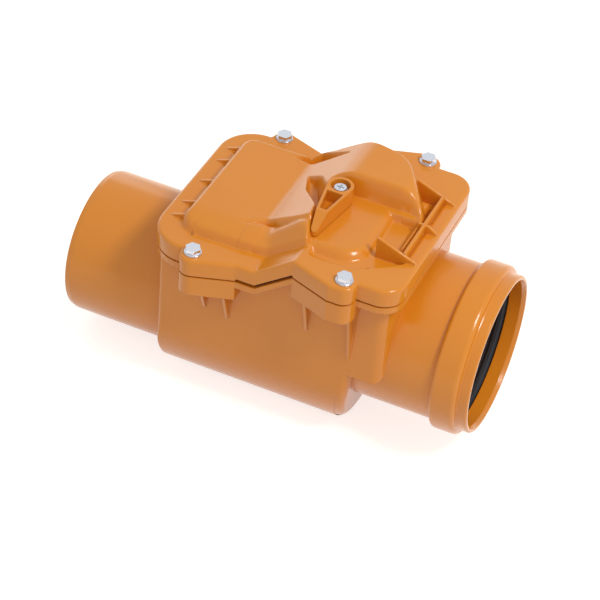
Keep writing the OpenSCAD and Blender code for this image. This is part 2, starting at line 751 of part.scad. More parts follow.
// Round shape along the hinge axis in the seat's frame
module hinge_rod(r, half) translate([hinge_up, 0, hinge_off]) rotate([90, 0, 0])
    cylinder(r = r, h = 2 * half, center = true);

module flap_hanger() color(GREY) seat_frame() difference() {
    union() {
        translate([0, 0, hanger_z]) linear_extrude(hanger_t) polygon([
            [hanger_low, -hanger_half], [hanger_shoulder[0], -hanger_half],
            [hanger_shoulder[1], -barrel_half], [hinge_up, -barrel_half],
            [hinge_up, barrel_half], [hanger_shoulder[1], barrel_half],
            [hanger_shoulder[0], hanger_half], [hanger_low, hanger_half]]);
        hinge_rod(barrel_r, barrel_half);
        translate([heel_top - heel_t, -heel_half, hinge_off])
            cube([heel_t, 2 * heel_half, heel_off - hinge_off]);
        for (v = [-hanger_rib_y, hanger_rib_y])
            translate([hanger_low + 2, v - rib_t / 2, hanger_z + hanger_t - cut])
                cube([hinge_up - barrel_r - hanger_low - 10, rib_t, hanger_rib_h + cut]);
    }
    hinge_rod(pin_r + run_play, barrel_half + cut);
    flap_screw_holes(flap_screw_r + washer_play / 2);
    translate([hanger_window_up, 0, hanger_z - cut]) cylinder(r = hanger_window_r, h = hanger_t + 2 * cut);
}

// Plan of the lever at rest: round head, straight flanks and a narrow nose
module lever_plan(inset) hull() {
    circle(lever_head_r - inset);
    translate([0, lever_nose_r - lever_reach]) circle(lever_nose_r - inset);
}

module lever() color(PVC) at_pivot() difference() {
    intersection() {
        translate([0, 0, lever_z]) linear_extrude(lever_h) lever_plan(0);
        rotate([90, 0, 90]) linear_extrude(4 * lever_head_r, center = true) polygon([
            [2 * lever_head_r, lever_z], [2 * lever_head_r, lever_top], [-lever_nose_y, lever_top],
            [-lever_reach - cut, lever_z + lever_nose_h], [-lever_reach - cut, lever_z]]);
    }
    translate([0, 0, lever_well_z]) cylinder(r = lever_head_r - lever_wall, h = lever_h);
    intersection() {
        translate([0, 0, lever_tray_z]) linear_extrude(lever_h) lever_plan(lever_nose_r - 0.6);
        translate([-2 * lever_head_r, lever_wall - lever_nose_y, 0])
            cube([4 * lever_head_r, lever_nose_y - lever_head_r - lever_wall, tall]);
    }
    translate([0, 0, lever_z - cut]) linear_extrude(lever_web_z - lever_z + cut)
        square(square_top + 2 * square_play, center = true);
    cylinder(r = lever_screw_r + 0.3, h = tall);
}

module lever_washer() color(STEEL) at_pivot() translate([0, 0, lever_well_z]) difference() {
    cylinder(r = lever_washer_r, h = lever_washer_t);
    translate([0, 0, -cut]) cylinder(r = lever_screw_r + 0.3, h = lever_washer_t + 2 * cut);
}

module lever_screw() color(STEEL) at_pivot() {
    translate([0, 0, lever_well_z - lever_screw_len]) cylinder(r = lever_screw_r, h = lever_screw_len + cut);
    translate([0, 0, lever_well_z + lever_washer_t]) difference() {
        cylinder(r = lever_screw_head_r, h = lever_screw_head_h);
        for (a = [0, 90]) rotate([0, 0, a])
            translate([0, 0, lever_screw_head_h])
                cube([lever_screw_head_r + cut, cut, lever_screw_head_h], center = true);
    }
}

module spindle() color(GREY) at_pivot() difference() {
    union() {
        translate([0, 0, finger_z]) linear_extrude(finger_t + cut) square(square_low, center = true);
        translate([0, 0, collar_z]) cylinder(r = spindle_r + collar_w, h = collar_t);
        translate([0, 0, collar_z]) cylinder(r = spindle_r, h = lever_z - collar_z);
        translate([0, 0, lever_z - cut]) linear_extrude(lever_web_z - lever_z + cut - square_play)
            square(square_top, center = true);
    }
    for (z = ring_z) translate([0, 0, z - ring_wire - ring_play]) difference() {
        cylinder(r = spindle_r + cut, h = 2 * (ring_wire + ring_play));
        translate([0, 0, -cut]) cylinder(r = ring_r - ring_wire - EPS, h = 2 * (ring_wire + ring_play + cut));
    }
    translate([0, 0, lever_well_z - lever_screw_len - cut])
        cylinder(r = lever_screw_r + screw_play, h = tall);
    translate([0, 0, finger_z - cut])
        cylinder(r = finger_screw_r + screw_play, h = finger_screw_len + 2 * cut);
}

module spindle_o_rings() color(RUBBER) at_pivot() for (z = ring_z)
    translate([0, 0, z]) rotate_extrude() translate([ring_r, 0]) circle(ring_wire, $fn = 24);

module locking_finger() color(GREY) at_pivot() difference() {
    translate([0, 0, finger_z]) linear_extrude(finger_t) {
        circle(finger_head_r);
        polygon(concat([[finger_half, 0], [-finger_half, 0]],
            arc([0, finger_half - finger_reach], finger_half, 180, 360, 12)));
    }
    translate([0, 0, finger_z - cut]) linear_extrude(finger_t + 2 * cut)
        square(square_low + 2 * square_play, center = true);
}

module finger_washer() color(STEEL) at_pivot() translate([0, 0, finger_z - finger_washer_t]) difference() {
    cylinder(r = finger_washer_r, h = finger_washer_t);
    translate([0, 0, -cut]) cylinder(r = finger_screw_r + washer_play, h = finger_washer_t + 2 * cut);
}

module finger_screw() color(STEEL) at_pivot() {
    translate([0, 0, finger_z - finger_washer_t - cut])
        cylinder(r = finger_screw_r, h = finger_screw_len + cut);
    translate([0, 0, finger_z - finger_washer_t - finger_screw_head_h])
        cylinder(r = finger_screw_head_r, h = finger_screw_head_h);
}

lift() body();
lift() inlet_seal();
lift() cover();
lift() cover_gasket();
lift() cover_bolts();
lift() bolt_washers();
lift() cover_nuts();
lift() hinge_pin();
lift() hinge_pin_clips();
lift() flap_plate();
lift() flap_seal();
lift() seal_clamp_disc();
lift() flap_screws();
lift() flap_hanger();
lift() lever();
lift() lever_screw();
lift() lever_washer();
lift() spindle();
lift() spindle_o_rings();
lift() locking_finger();
lift() finger_screw();
lift() finger_washer();
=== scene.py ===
"""Looks of a 110 mm drain backwater valve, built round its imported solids."""

import json
import logging
import math
from dataclasses import dataclass
from enum import Enum
from typing import Any

import bpy
import numpy as np
from mathutils import Matrix, Vector


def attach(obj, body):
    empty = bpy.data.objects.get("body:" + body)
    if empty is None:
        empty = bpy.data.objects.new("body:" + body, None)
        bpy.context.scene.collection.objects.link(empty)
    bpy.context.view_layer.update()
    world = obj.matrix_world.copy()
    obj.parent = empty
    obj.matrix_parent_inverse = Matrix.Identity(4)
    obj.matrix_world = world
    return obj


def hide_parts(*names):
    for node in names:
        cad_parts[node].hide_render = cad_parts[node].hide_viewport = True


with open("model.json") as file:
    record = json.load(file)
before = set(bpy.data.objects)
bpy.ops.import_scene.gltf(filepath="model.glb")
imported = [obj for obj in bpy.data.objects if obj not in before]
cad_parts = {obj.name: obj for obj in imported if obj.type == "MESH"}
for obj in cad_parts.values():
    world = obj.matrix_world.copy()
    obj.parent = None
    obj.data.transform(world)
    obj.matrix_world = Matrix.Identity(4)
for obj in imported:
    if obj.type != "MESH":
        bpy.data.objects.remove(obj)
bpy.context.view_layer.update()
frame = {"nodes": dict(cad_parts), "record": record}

MM = 0.001
CREASE_DEG = 35.0
FAR_INSIDE = -1000.0
LOG = logging.getLogger("backwater_valve")

Pair = tuple[float, float]
Triple = tuple[float, float, float]
Colour = tuple[float, float, float, float]
Box = tuple[Pair, Pair]
Plan = tuple[Pair, ...]
Table = tuple[tuple[float, ...], tuple[float, ...]]
Solid = tuple[np.ndarray, list[list[int]]]


def linear(code: str) -> Colour:
    """Turns an sRGB hex colour into the linear values that the shaders take.

    Args:
        code: Colour as #RRGGBB.

    Returns:
        Linear red, green and blue, and an alpha of 1.
    """
    parts = [int(code[i:i + 2], 16) / 255 for i in (1, 3, 5)]
    red, green, blue = (v / 12.92 if v <= 0.04045 else ((v + 0.055) / 1.055) ** 2.4 for v in parts)
    return red, green, blue, 1.0


def per_metre(size_mm: float) -> float:
    """Gives the texture scale whose features are about size_mm across."""
    return 1.0 / (size_mm * MM)


def add_node(tree: bpy.types.NodeTree, kind: str, inputs: dict[Any, Any] | None = None,
             **settings: Any) -> bpy.types.Node:
    """Adds a node, sets its options and fills its inputs with values or links.

    Args:
        tree: Node tree that takes the node.
        kind: Blender's name of the node's type.
        inputs: Value or source socket for each input, by name or number.
        **settings: Options of the node itself.

    Returns:
        The new node.
    """
    node = tree.nodes.new(kind)
    for name, value in settings.items():
        setattr(node, name, value)
    for name, value in (inputs or {}).items():
        if isinstance(value, bpy.types.NodeSocket):
            tree.links.new(value, node.inputs[name])
        else:
            node.inputs[name].default_value = value
    return node


def empty_material(name: str) -> tuple[bpy.types.Material, bpy.types.NodeTree]:
    """Makes a material with no nodes in it.

    Args:
        name: Name of the material.

    Returns:
        The material and its node tree.
    """
    material = bpy.data.materials.new(name)
    material.use_nodes = True
    material.node_tree.nodes.clear()
    return material, material.node_tree


def seen_directly(tree: bpy.types.NodeTree) -> bpy.types.NodeSocket:
    """Gives 1 for what the camera or a reflection sees, and 0 for light that falls on surfaces.

    Args:
        tree: Node tree that works it out.

    Returns:
        Socket with that value.
    """
    path = add_node(tree, "ShaderNodeLightPath")
    seen = add_node(tree, "ShaderNodeMath", {
        0: path.outputs["Is Camera Ray"], 1: path.outputs["Is Glossy Ray"]}, operation="MAXIMUM")
    return seen.outputs["Value"]


def soft_min(a: np.ndarray, b: np.ndarray | float, round_mm: float) -> np.ndarray:
    """Takes the lower of two heights and rounds the edge where they cross.

    Within round_mm of each other the two are mixed by the share h = 1/2 + (b - a) / (2 round_mm), and the mix
    is lowered by round_mm h (1 - h).

    Args:
        a: First height, in mm.
        b: Second height, in mm.
        round_mm: Difference of height over which the edge is rounded.

    Returns:
        The blended height.
    """
    share = np.clip(0.5 + 0.5 * (b - a) / round_mm, 0.0, 1.0)
    return b + (a - b) * share - round_mm * share * (1.0 - share)


def soft_max(a: np.ndarray, b: np.ndarray | float, round_mm: float) -> np.ndarray:
    """Takes the higher of two heights and fills the corner between them, as soft_min does upside down."""
    return -soft_min(-a, -b, round_mm)


def past(value: np.ndarray, start: float) -> np.ndarray:
    """Gives how far values lie past a start, and 0 before it."""
    return np.clip(value - start, 0.0, None)


def box_distance(x: np.ndarray, y: np.ndarray, box: Box, corner: float) -> np.ndarray:
    """Measures how far points lie outside a rounded rectangle, negative inside it.

    The half sizes less the corner radius give q = |p - middle| - half + corner; the distance is the length of
    q's positive part, plus its larger term where both are negative, less the radius.

    Args:
        x: First coordinates.
        y: Second coordinates.
        box: Lower and upper corner of the rectangle.
        corner: Radius of its corners.

    Returns:
        The signed distances.
    """
    low, high = box
    qx = np.abs(x - (low[0] + high[0]) / 2) - (high[0] - low[0]) / 2 + corner
    qy = np.abs(y - (low[1] + high[1]) / 2) - (high[1] - low[1]) / 2 + corner
    return np.hypot(np.maximum(qx, 0), np.maximum(qy, 0)) + np.minimum(np.maximum(qx, qy), 0) - corner


def convex_distance(x: np.ndarray, y: np.ndarray, plan: Plan, round_mm: float) -> np.ndarray:
    """Measures how far points lie outside a convex plan, negative inside it.

    Each side, walked anticlockwise, gives the distance to the right of its line; the soft maximum of them all
    is the distance from the plan, with its corners rounded.

    Args:
        x: First coordinates.
        y: Second coordinates.
        plan: Corners of the plan, anticlockwise.
        round_mm: Softness of the corners.

    Returns:
        The signed distances.
    """
    corners = np.array(plan)
    sides = np.roll(corners, -1, axis=0) - corners
    sides /= np.linalg.norm(sides, axis=1, keepdims=True)
    result = np.full(x.shape, FAR_INSIDE)
    for corner, side in zip(corners, sides):
        result = soft_max(result, (x - corner[0]) * side[1] - (y - corner[1]) * side[0], round_mm)
    return result


def slab_quads(keep: np.ndarray) -> np.ndarray:
    """Lists the quads of a slab between an upper and a lower grid of points.

    A kept cell gives an upper and a lower quad, and each of its sides that borders no kept cell gives a wall.

    Args:
        keep: Which cells of the grid are filled.

    Returns:
        Point numbers of the quads, four to a row; the lower grid's points follow the upper grid's.
    """
    rows, columns = keep.shape[0] + 1, keep.shape[1] + 1
    number = np.arange(rows * columns).reshape(rows, columns)
    below = rows * columns
    i, j = np.nonzero(keep)
    upper = np.stack([number[i, j], number[i + 1, j], number[i + 1, j + 1], number[i, j + 1]], axis=1)
    ring = np.pad(keep, 1)
    quads = [upper, upper[:, ::-1] + below]
    for side, (di, dj) in enumerate([(0, -1), (1, 0), (0, 1), (-1, 0)]):
        open_side = ~ring[i + 1 + di, j + 1 + dj]
        a, b = upper[open_side, side], upper[open_side, (side + 1) % 4]
        quads.append(np.stack([b, a, a + below, b + below], axis=1))
    return np.concatenate(quads)


def plate(points: np.ndarray, thickness: float, edge: float, rim_steps: int = 4) -> Solid:
    """Makes a flat plate of a convex outline with rounded rims, as an upright rib has.

    The outline, anticlockwise in (u, v), is stacked in layers across the thickness w; towards both faces the
    layers shrink along a quarter circle of the edge radius.

    Args:
        points: Corners of the outline.
        thickness: Thickness of the plate.
        edge: Radius of the rims.
        rim_steps: Layers in each quarter circle.

    Returns:
        Points as (u, v, w) and the faces.
    """
    sides = np.roll(points, -1, axis=0) - points
    sides /= np.linalg.norm(sides, axis=1, keepdims=True)
    inward = np.stack([-sides[:, 1], sides[:, 0]], axis=1)
    before = np.roll(inward, 1, axis=0)
    mitre = (inward + before) / (1.0 + np.sum(inward * before, axis=1, keepdims=True))
    turn = np.linspace(0.0, math.pi / 2, rim_steps)
    shrink = edge * (1 - np.sin(turn))
    depth = edge * (1 - np.cos(turn)) - thickness / 2
    inset = np.concatenate([shrink, shrink[::-1]])
    across = np.concatenate([depth, -depth[::-1]])
    rings = points[None] + inset[:, None, None] * mitre[None]
    solid = np.concatenate([rings, np.broadcast_to(across[:, None, None], rings.shape[:2] + (1,))], axis=2)
    layers, count = rings.shape[:2]
    number = np.arange(layers * count).reshape(layers, count)
    ahead = np.roll(number, -1, axis=1)
    walls = np.stack([number[:-1], ahead[:-1], ahead[1:], number[1:]], axis=-1).reshape(-1, 4)
    faces = walls.tolist() + [number[0, ::-1].tolist(), number[-1].tolist()]
    return solid.reshape(-1, 3), faces


def mesh_piece(name: str, points_mm: np.ndarray, faces: list[list[int]]) -> bpy.types.Object:
    """Puts points and faces into a new smooth-shaded piece, whose edges over CREASE_DEG stay sharp.

    Args:
        name: Name of the piece.
        points_mm: Points, in mm.
        faces: Point numbers of each face.

    Returns:
        The new object, linked to the scene.
    """
    mesh = bpy.data.meshes.new(name)
    mesh.from_pydata((points_mm * MM).tolist(), [], faces)
    mesh.polygons.foreach_set("use_smooth", np.ones(len(mesh.polygons), dtype=bool))
    mesh.set_sharp_from_angle(angle=math.radians(CREASE_DEG))
    mesh.update()
    piece = bpy.data.objects.new(name, mesh)
    bpy.context.collection.objects.link(piece)
    return piece


@dataclass(frozen=True)
class PlainSkin:
    """A one-colour finish with a fine uneven skin, for rubber, filled plastic and plated metal.

    One pattern mixes the two colours and takes the roughness from its first value to its second.
    """

    name: str
    main_hex: str
    second_hex: str
    roughness: Pair
    grain_mm: float
    relief_mm: float
    relief_strength: float = 0.2
    edge_mm: float = 0.3
    edge_samples: int = 4
    metallic: float = 0.0
    ior: float = 1.5
    noise_detail: float = 3.0

    def patterns(self, tree: bpy.types.NodeTree) -> tuple[bpy.types.NodeSocket, bpy.types.NodeSocket]:
        """Adds the noise of the finish: one grain gives the tone and the relief.

        Args:
            tree: Node tree of the material.

        Returns:
            Sockets of the tone and of the relief.
        """
        place = add_node(tree, "ShaderNodeTexCoord").outputs["Object"]
        grain = add_node(tree, "ShaderNodeTexNoise", {
            "Vector": place, "Scale": per_metre(self.grain_mm), "Detail": self.noise_detail})
        return grain.outputs["Fac"], grain.outputs["Fac"]

    def material(self) -> bpy.types.Material:
        """Builds the shader: two close colours and roughness by the tone, relief on rounded edges.

        Returns:
            The finished material.
        """
        material, tree = empty_material(self.name)
        tone, height = self.patterns(tree)
        colour = add_node(tree, "ShaderNodeMix", {
            "Factor": tone, "A": linear(self.main_hex), "B": linear(self.second_hex)}, data_type="RGBA")
        rough = add_node(tree, "ShaderNodeMapRange", {
            "Value": tone, "To Min": self.roughness[0], "To Max": self.roughness[1]})
        edge = add_node(tree, "ShaderNodeBevel", {"Radius": self.edge_mm * MM}, samples=self.edge_samples)
        relief = add_node(tree, "ShaderNodeBump", {
            "Height": height, "Strength": self.relief_strength, "Distance": self.relief_mm * MM,
            "Normal": edge.outputs["Normal"]})
        shader = add_node(tree, "ShaderNodeBsdfPrincipled", {
            "Base Color": colour.outputs["Result"], "Metallic": self.metallic, "IOR": self.ior,
            "Roughness": rough.outputs["Result"], "Normal": relief.outputs["Normal"]})
        add_node(tree, "ShaderNodeOutputMaterial", {"Surface": shader.outputs["BSDF"]})
        return material


@dataclass(frozen=True)
class MouldedPvc(PlainSkin):
    """Unplasticised PVC, injection moulded: even colour with wide flow marks and a faint uneven skin."""

    flow_mm: float = 55.0
    flow_bend: float = 0.6

    def patterns(self, tree: bpy.types.NodeTree) -> tuple[bpy.types.NodeSocket, bpy.types.NodeSocket]:
        """Adds the noise of the finish: wide bent flow marks give the tone, and a fine skin the relief.

        Args:
            tree: Node tree of the material.

        Returns:
            Sockets of the tone and of the relief.
        """
        place = add_node(tree, "ShaderNodeTexCoord").outputs["Object"]
        flow = add_node(tree, "ShaderNodeTexNoise", {
            "Vector": place, "Scale": per_metre(self.flow_mm), "Detail": self.noise_detail,
            "Distortion": self.flow_bend})
        skin = add_node(tree, "ShaderNodeTexNoise", {
            "Vector": place, "Scale": per_metre(self.grain_mm), "Detail": self.noise_detail})
        return flow.outputs["Fac"], skin.outputs["Fac"]


class Finish(Enum):
    """The finishes of the valve, by the record's material slots."""

    # Orange-brown drain PVC: clean moulded skin with a soft gloss and edges rounded by the mould
    MOULDING = MouldedPvc(
        name="orange_brown_upvc_moulding", main_hex="#DC8922", second_hex="#D5811D", roughness=(0.16, 0.23),
        grain_mm=1.4, relief_mm=0.1, relief_strength=0.03, edge_mm=0.9, edge_samples=6, ior=1.48,
        noise_detail=2.0)
    # Black EPDM rubber: dull, with a slight bloom
    RUBBER = PlainSkin(
        name="black_epdm_rubber", main_hex="#1B1D22", second_hex="#262930", roughness=(0.55, 0.72),
        grain_mm=2.0, relief_mm=0.05)
    # Bright zinc plating on rolled steel: bluish and slightly cloudy
    ZINC_STEEL = PlainSkin(
        name="bright_zinc_plating", main_hex="#DCDFE6", second_hex="#C6CBD5", roughness=(0.2, 0.36),
        grain_mm=1.2, relief_mm=0.02, metallic=1.0)
    # Plain stainless steel, machined: warmer and duller than the zinc
    STAINLESS = PlainSkin(
        name="machined_stainless_steel", main_hex="#B9B8B4", second_hex="#A8A7A3", roughness=(0.26, 0.4),
        grain_mm=0.8, relief_mm=0.02, metallic=1.0)
    # Grey glass-filled polypropylene: matt with pale flecks
    GREY_PLASTIC = PlainSkin(
        name="grey_glass_filled_polypropylene", main_hex="#777C81", second_hex="#8B9095",
        roughness=(0.42, 0.58), grain_mm=1.0, relief_mm=0.04)


@dataclass
class CoverMoulding:
    """The stepped cover as one moulded skin: a surface of heights over the plan, its underside, and its ribs.

    Sizes are in mm, and heights count from the outlet axis; base_mm lifts them to the floor's zero. A fall,
    rise or wall is in mm of height per mm of plan. A table holds places along the line and a value at each.
    """

    base_mm: float = 61.8466

    # Plan: ends, radii of the corners at the low and the high end, bolts, their ears, and the holes
    ends: Pair = (-86.5, 105.5)
    half_width: float = 75.0
    corners: Pair = (28.0, 17.0)
    low_bolt: Pair = (-47.0, 76.5)
    high_bolt: Pair = (66.5, 76.5)
    ear: float = 9.5
    low_ear_turn_deg: float = 20.0
    low_ear_run: float = 32.5
    high_ear_flat: float = 8.0
    pivot_x: float = 29.0
    spindle_hole: float = 6.08
    bolt_hole: float = 3.3

    # Grid: even columns and lines, and the distances from the rim of the crowded ones outside them
    even_grid: tuple[int, int] = (215, 169)
    crowd: tuple[float, ...] = (0.0, 0.2, 0.55, 1.05, 1.7, 2.5)
    crowd_width: float = 3.4

    # Levels, and the ramp that climbs from the low side to the high one
    ramp: Pair = (0.0, 28.0)
    ramp_round: float = 1.6
    climb_mm: float = 21.0
    joint_z: float = 72.0
    underside_z: float = 74.5
    rim_z: float = 87.0
    low_z: float = 97.6
    high_z: float = 126.0
    table_z: float = 110.0
    well_z: float = 104.0
    edge_round: float = 2.6

    # Low dome, and the front flank with the steep strip along its foot
    low_plan: Box = ((-71.0, -58.0), (-5.0, 58.0))
    low_corner: float = 14.0
    low_fall: float = 2.1
    foot_line: Table = ((-30.0, -8.0, 28.0), (-58.0, -56.0, -54.5))
    foot_fall: float = 4.0
    foot_width: float = 1.4
    flank_fall: Table = ((-25.0, -5.0, 0.0, 18.0), (0.38, 0.48, 0.77, 0.93))

    # Ridge beside the slope: its crest at the step, the crest's limits, and where its back and ends fall away
    crest_z: float = 101.2
    crest_rise: float = 0.86
    crest_under_low: float = 0.6
    crest_over_table: float = 7.5
    ridge_back_y: float = -28.4
    ridge_back_fall: float = 1.2
    ridge_middle_x: float = 4.0
    ridge_half: float = 26.0
    ridge_end_fall: float = 2.0

    # Valley beside the ridge, and the groove near the back of the slope
    valley_line: Table = ((-28.8, -12.0, 0.0, 14.5), (-40.6, -33.0, -35.2, -38.6))
    valley_wall: Table = ((-14.0, -2.0), (1.2, 4.5))
    valley_front_share: float = 0.9
    valley_dip: float = 0.22
    valley_climb_z: float = 99.0
    valley_climb: float = 1.06
    groove_line: Table = ((-26.5, -8.0, 17.3), (47.0, 54.0, 48.0))
    groove_depth: Table = ((-26.5, -8.0, 17.3), (0.0, 13.0, 0.0))
    groove_back_wall: float = 3.5
    groove_front_wall: float = 1.2

    # Slope and high dome, with the roll of the dome's end
    slope_start: float = -12.0
    slope_rise: float = 0.69
    roll_start: float = 68.0
    roll_per_mm: float = 0.035
    dome_plan: Plan = ((-14.0, -31.5), (16.0, -40.5), (91.0, -24.4), (91.0, 6.0), (87.0, 16.0), (75.0, 36.0),
                       (64.0, 53.0), (28.0, 62.5), (-14.0, 60.5))
    dome_fall: float = 3.0
    dome_margin: float = 4.0

    # Recess that the lever turns in, open to the front, and the pointed slot beside it
    recess_plan: Plan = ((22.5, -32.0), (56.0, -200.0), (87.0, -200.0), (87.0, 11.0), (17.5, 11.0),
                         (17.5, -8.0))
    recess_wall: float = 4.5
    slot_plan: Plan = ((-3.8, 22.5), (3.2, 5.6), (22.0, -17.0), (15.0, -1.0), (4.8, 17.6))
    slot_wall: float = 4.0
    slot_depth: float = 10.0

    # Wells in the high rim, the table under the lever, and the strip behind it
    front_well: Box = ((34.0, -60.0), (68.0, 20.0))
    end_well: Plan = ((60.0, -58.0), (67.5, -58.0), (93.0, -38.0), (93.0, 37.0), (60.0, 37.0))
    well_wall: float = 1.6
    table_plan: Box = ((-10.0, -52.0), (67.5, 30.0))
    table_corner: float = 18.0
    table_start: float = 20.0
    table_rise: float = 1.6
    table_drop: float = 6.0
    table_fall: float = 1.7
    table_margin: float = 2.5
    strip_plan: Box = ((29.0, 5.0), (87.5, 30.0))
    strip_fall: float = 4.0
    strip_margin: float = 0.5
    ledge_from_x: float = 14.0
    ledge_to_y: float = -36.0

    # Underside: rooms with their ceilings, the spindle's boss, the skirt and the bevel along the outline
    rooms: tuple[tuple[Box, float], ...] = (
        (((-62.5, -44.0), (-32.0, 44.0)), 93.6), (((-39.0, -20.0), (1.0, 20.0)), 93.6),
        (((18.0, -36.0), (66.0, 36.0)), 100.0), (((18.0, -36.0), (59.5, 7.0)), 106.0),
        (((55.0, -12.0), (82.0, 12.0)), 100.5), (((36.0, 16.0), (60.0, 42.0)), 122.0))
    room_wall: float = 6.0
    boss: float = 11.0
    boss_z: float = 98.5
    skirt: float = 3.7
    ear_gap: float = 0.7
    bevel: float = 0.8

    # Ribs: thickness, radius of their rims, and outlines as places and heights over the rim at their end
    rib: float = 2.4
    rib_edge: float = 0.7
    fin: Plan = ((73.0, -6.0), (102.0, -6.0), (104.0, -1.0), (102.0, 2.2), (73.0, 13.5))
    fin_y: tuple[float, ...] = (-37.0, 37.0)
    middle_fin: Plan = ((89.0, -6.0), (104.0, -6.0), (104.0, 1.0), (98.0, 6.0), (89.0, 6.5))
    middle_fin_y: tuple[float, ...] = (0.0,)
    gusset: Plan = ((-79.5, -2.0), (-62.0, -2.0), (-62.0, 6.5), (-68.5, 4.5), (-79.5, 0.4))
    gusset_y: tuple[float, ...] = (-45.0, -28.0, 0.0, 28.0, 45.0)
    cross_rib: Plan = ((-37.0, -6.0), (37.0, -6.0), (37.0, 6.5), (-37.0, 6.5))
    cross_x: float = 93.5

    def ear_arc(self, x: np.ndarray, bolt: Pair) -> np.ndarray:
        """Gives the half width of the circle round a bolt, and the bolt's own beyond the circle."""
        return bolt[1] + np.sqrt(np.clip(self.ear ** 2 - (x - bolt[0]) ** 2, 0.0, None))

    def half_outline(self, x: np.ndarray) -> np.ndarray:
        """Gives the outline's half width at each place along the line: round corners and four bolt ears.

        The corners are quarter circles. A low ear is a circle with a straight run down to the side, and a
        high ear is a straight run up to a short flat, then a circle.

        Args:
            x: Places along the line.

        Returns:
            Half widths.
        """
        low_round, high_round = self.corners
        low_inset = np.clip(self.ends[0] + low_round - x, 0.0, low_round)
        high_inset = np.clip(x - self.ends[1] + high_round, 0.0, high_round)
        half = self.half_width - low_round + np.sqrt(low_round ** 2 - low_inset ** 2)
        half = half - high_round + np.sqrt(high_round ** 2 - high_inset ** 2)
        turn = math.radians(self.low_ear_turn_deg)
        low_x, low_y = self.low_bolt
        arc_end = low_x + self.ear * math.sin(turn)
        run_end = low_x + self.low_ear_run
        low_run = np.interp(x, [arc_end, run_end], [low_y + self.ear * math.cos(turn), self.half_width])
        low = np.where(x < arc_end, self.ear_arc(x, self.low_bolt), low_run)
        half = np.where((x >= low_x - self.ear) & (x <= run_end), np.maximum(half, low), half)
        high_x, high_y = self.high_bolt
        flat_start = high_x - self.high_ear_flat
        high_run = np.interp(x, [self.ramp[1], flat_start], [self.half_width, high_y + self.ear])
        high = np.where(x > flat_start, high_y + self.ear, high_run)
        high = np.where(x < high_x, high, self.ear_arc(x, self.high_bolt))
        return np.where((x >= self.ramp[1]) & (x <= high_x + self.ear), np.maximum(half, high), half)

    def plan(self) -> tuple[np.ndarray, np.ndarray]:
        """Spreads the grid over the plan: columns along the line, each scaled to the outline's width.

        Lines crowd towards the rim, so that its round edge has enough of them.

        Returns:
            Both coordinates of the grid's points.
        """
        columns, lines = self.even_grid
        start, end = self.ends
        crowd = np.array(self.crowd)
        inner = np.linspace(start + self.crowd_width, end - self.crowd_width, columns)
        x = np.concatenate([start + crowd, inner, end - crowd[::-1]])
        half = self.half_outline(x)[:, None]
        middle = np.linspace(-1.0, 1.0, lines)[None, :] * (half - self.crowd_width)
        y = np.concatenate([crowd[None, :] - half, middle, half - crowd[::-1][None, :]], axis=1)
        return np.broadcast_to(x[:, None], y.shape).copy(), y

    @staticmethod
    def edge_distance(x: np.ndarray, y: np.ndarray, tiny: float = 1e-9) -> np.ndarray:
        """Measures each point's distance from the outline, which is the grid's own outer line.

        The line is taken as straight pieces on one side, and the points are mirrored to it. The nearest
        place on a piece is at the share (p - begin) . step / |step|^2 of it, held between 0 and 1.

        Args:
            x: First coordinates.
            y: Second coordinates.
            tiny: Least squared length of a piece.

        Returns:
            Distances in mm.
        """
        side = np.stack([x[:, 0], -y[:, 0]], axis=1)
        line = np.concatenate([[[x[0, 0], 0.0]], side, [[x[-1, 0], 0.0]]])
        begin, step = line[:-1], np.diff(line, axis=0)
        square = np.maximum((step ** 2).sum(axis=1), tiny)
        result = np.empty(x.shape)
        # One column at a time, which keeps the array of points by pieces small
        for column in range(x.shape[0]):
            gap = np.stack([x[column], np.abs(y[column])], axis=1)[:, None, :] - begin
            share = np.clip((gap * step).sum(axis=2) / square, 0.0, 1.0)
            result[column] = np.linalg.norm(gap - share[..., None] * step, axis=2).min(axis=1)
        return result

    def rim(self, x: np.ndarray) -> np.ndarray:
        """Heights of the rim: level, then straight up the ramp, then level, with rounded bends.

        Args:
            x: Places along the line.

        Returns:
            Heights.
        """
        slope = self.climb_mm / (self.ramp[1] - self.ramp[0])
        climb = soft_max((x - self.ramp[0]) * slope, 0.0, self.ramp_round)
        return self.rim_z + soft_min(climb, self.climb_mm, self.ramp_round)

    def low_half(self, x: np.ndarray, y: np.ndarray, rim: np.ndarray) -> np.ndarray:
        """Heights of the low dome and of the ridge beside the slope, with the front flank of both.

        The dome is the lower of a flat top, flanks that fall outside a rounded rectangle, and the front
        flank, which is a steep strip along its foot line and then a gentler plane. The ridge follows its
        rising crest, falls away behind it and beyond its ends, and gives way to the lever's recess.

        Args:
            x: Places along the line.
            y: Places across it.
            rim: Height of the rim there.

        Returns:
            Heights.
        """
        outside = box_distance(x, y, self.low_plan, self.low_corner)
        dome = soft_min(self.rim_z - self.low_fall * outside, self.low_z, round_mm=5.0)
        inward = y - np.interp(x, *self.foot_line)
        fall = np.interp(x, *self.flank_fall)
        plane = self.foot_fall * self.foot_width + fall * (inward - self.foot_width)
        flank = rim + soft_min(self.foot_fall * inward, plane, round_mm=3.0)
        dome = soft_min(dome, flank, round_mm=3.0)
        crest = soft_max(self.crest_z + self.crest_rise * x, self.low_z - self.crest_under_low, round_mm=3.0)
        crest = soft_min(crest, self.table_z + self.crest_over_table, round_mm=4.0)
        ridge = soft_min(crest, flank, round_mm=3.0) - self.ridge_back_fall * past(y, self.ridge_back_y)
        ridge -= self.ridge_end_fall * past(np.abs(x - self.ridge_middle_x), self.ridge_half)
        return soft_max(dome, soft_min(ridge, self.recess(x, y), round_mm=11.0), round_mm=2.0)

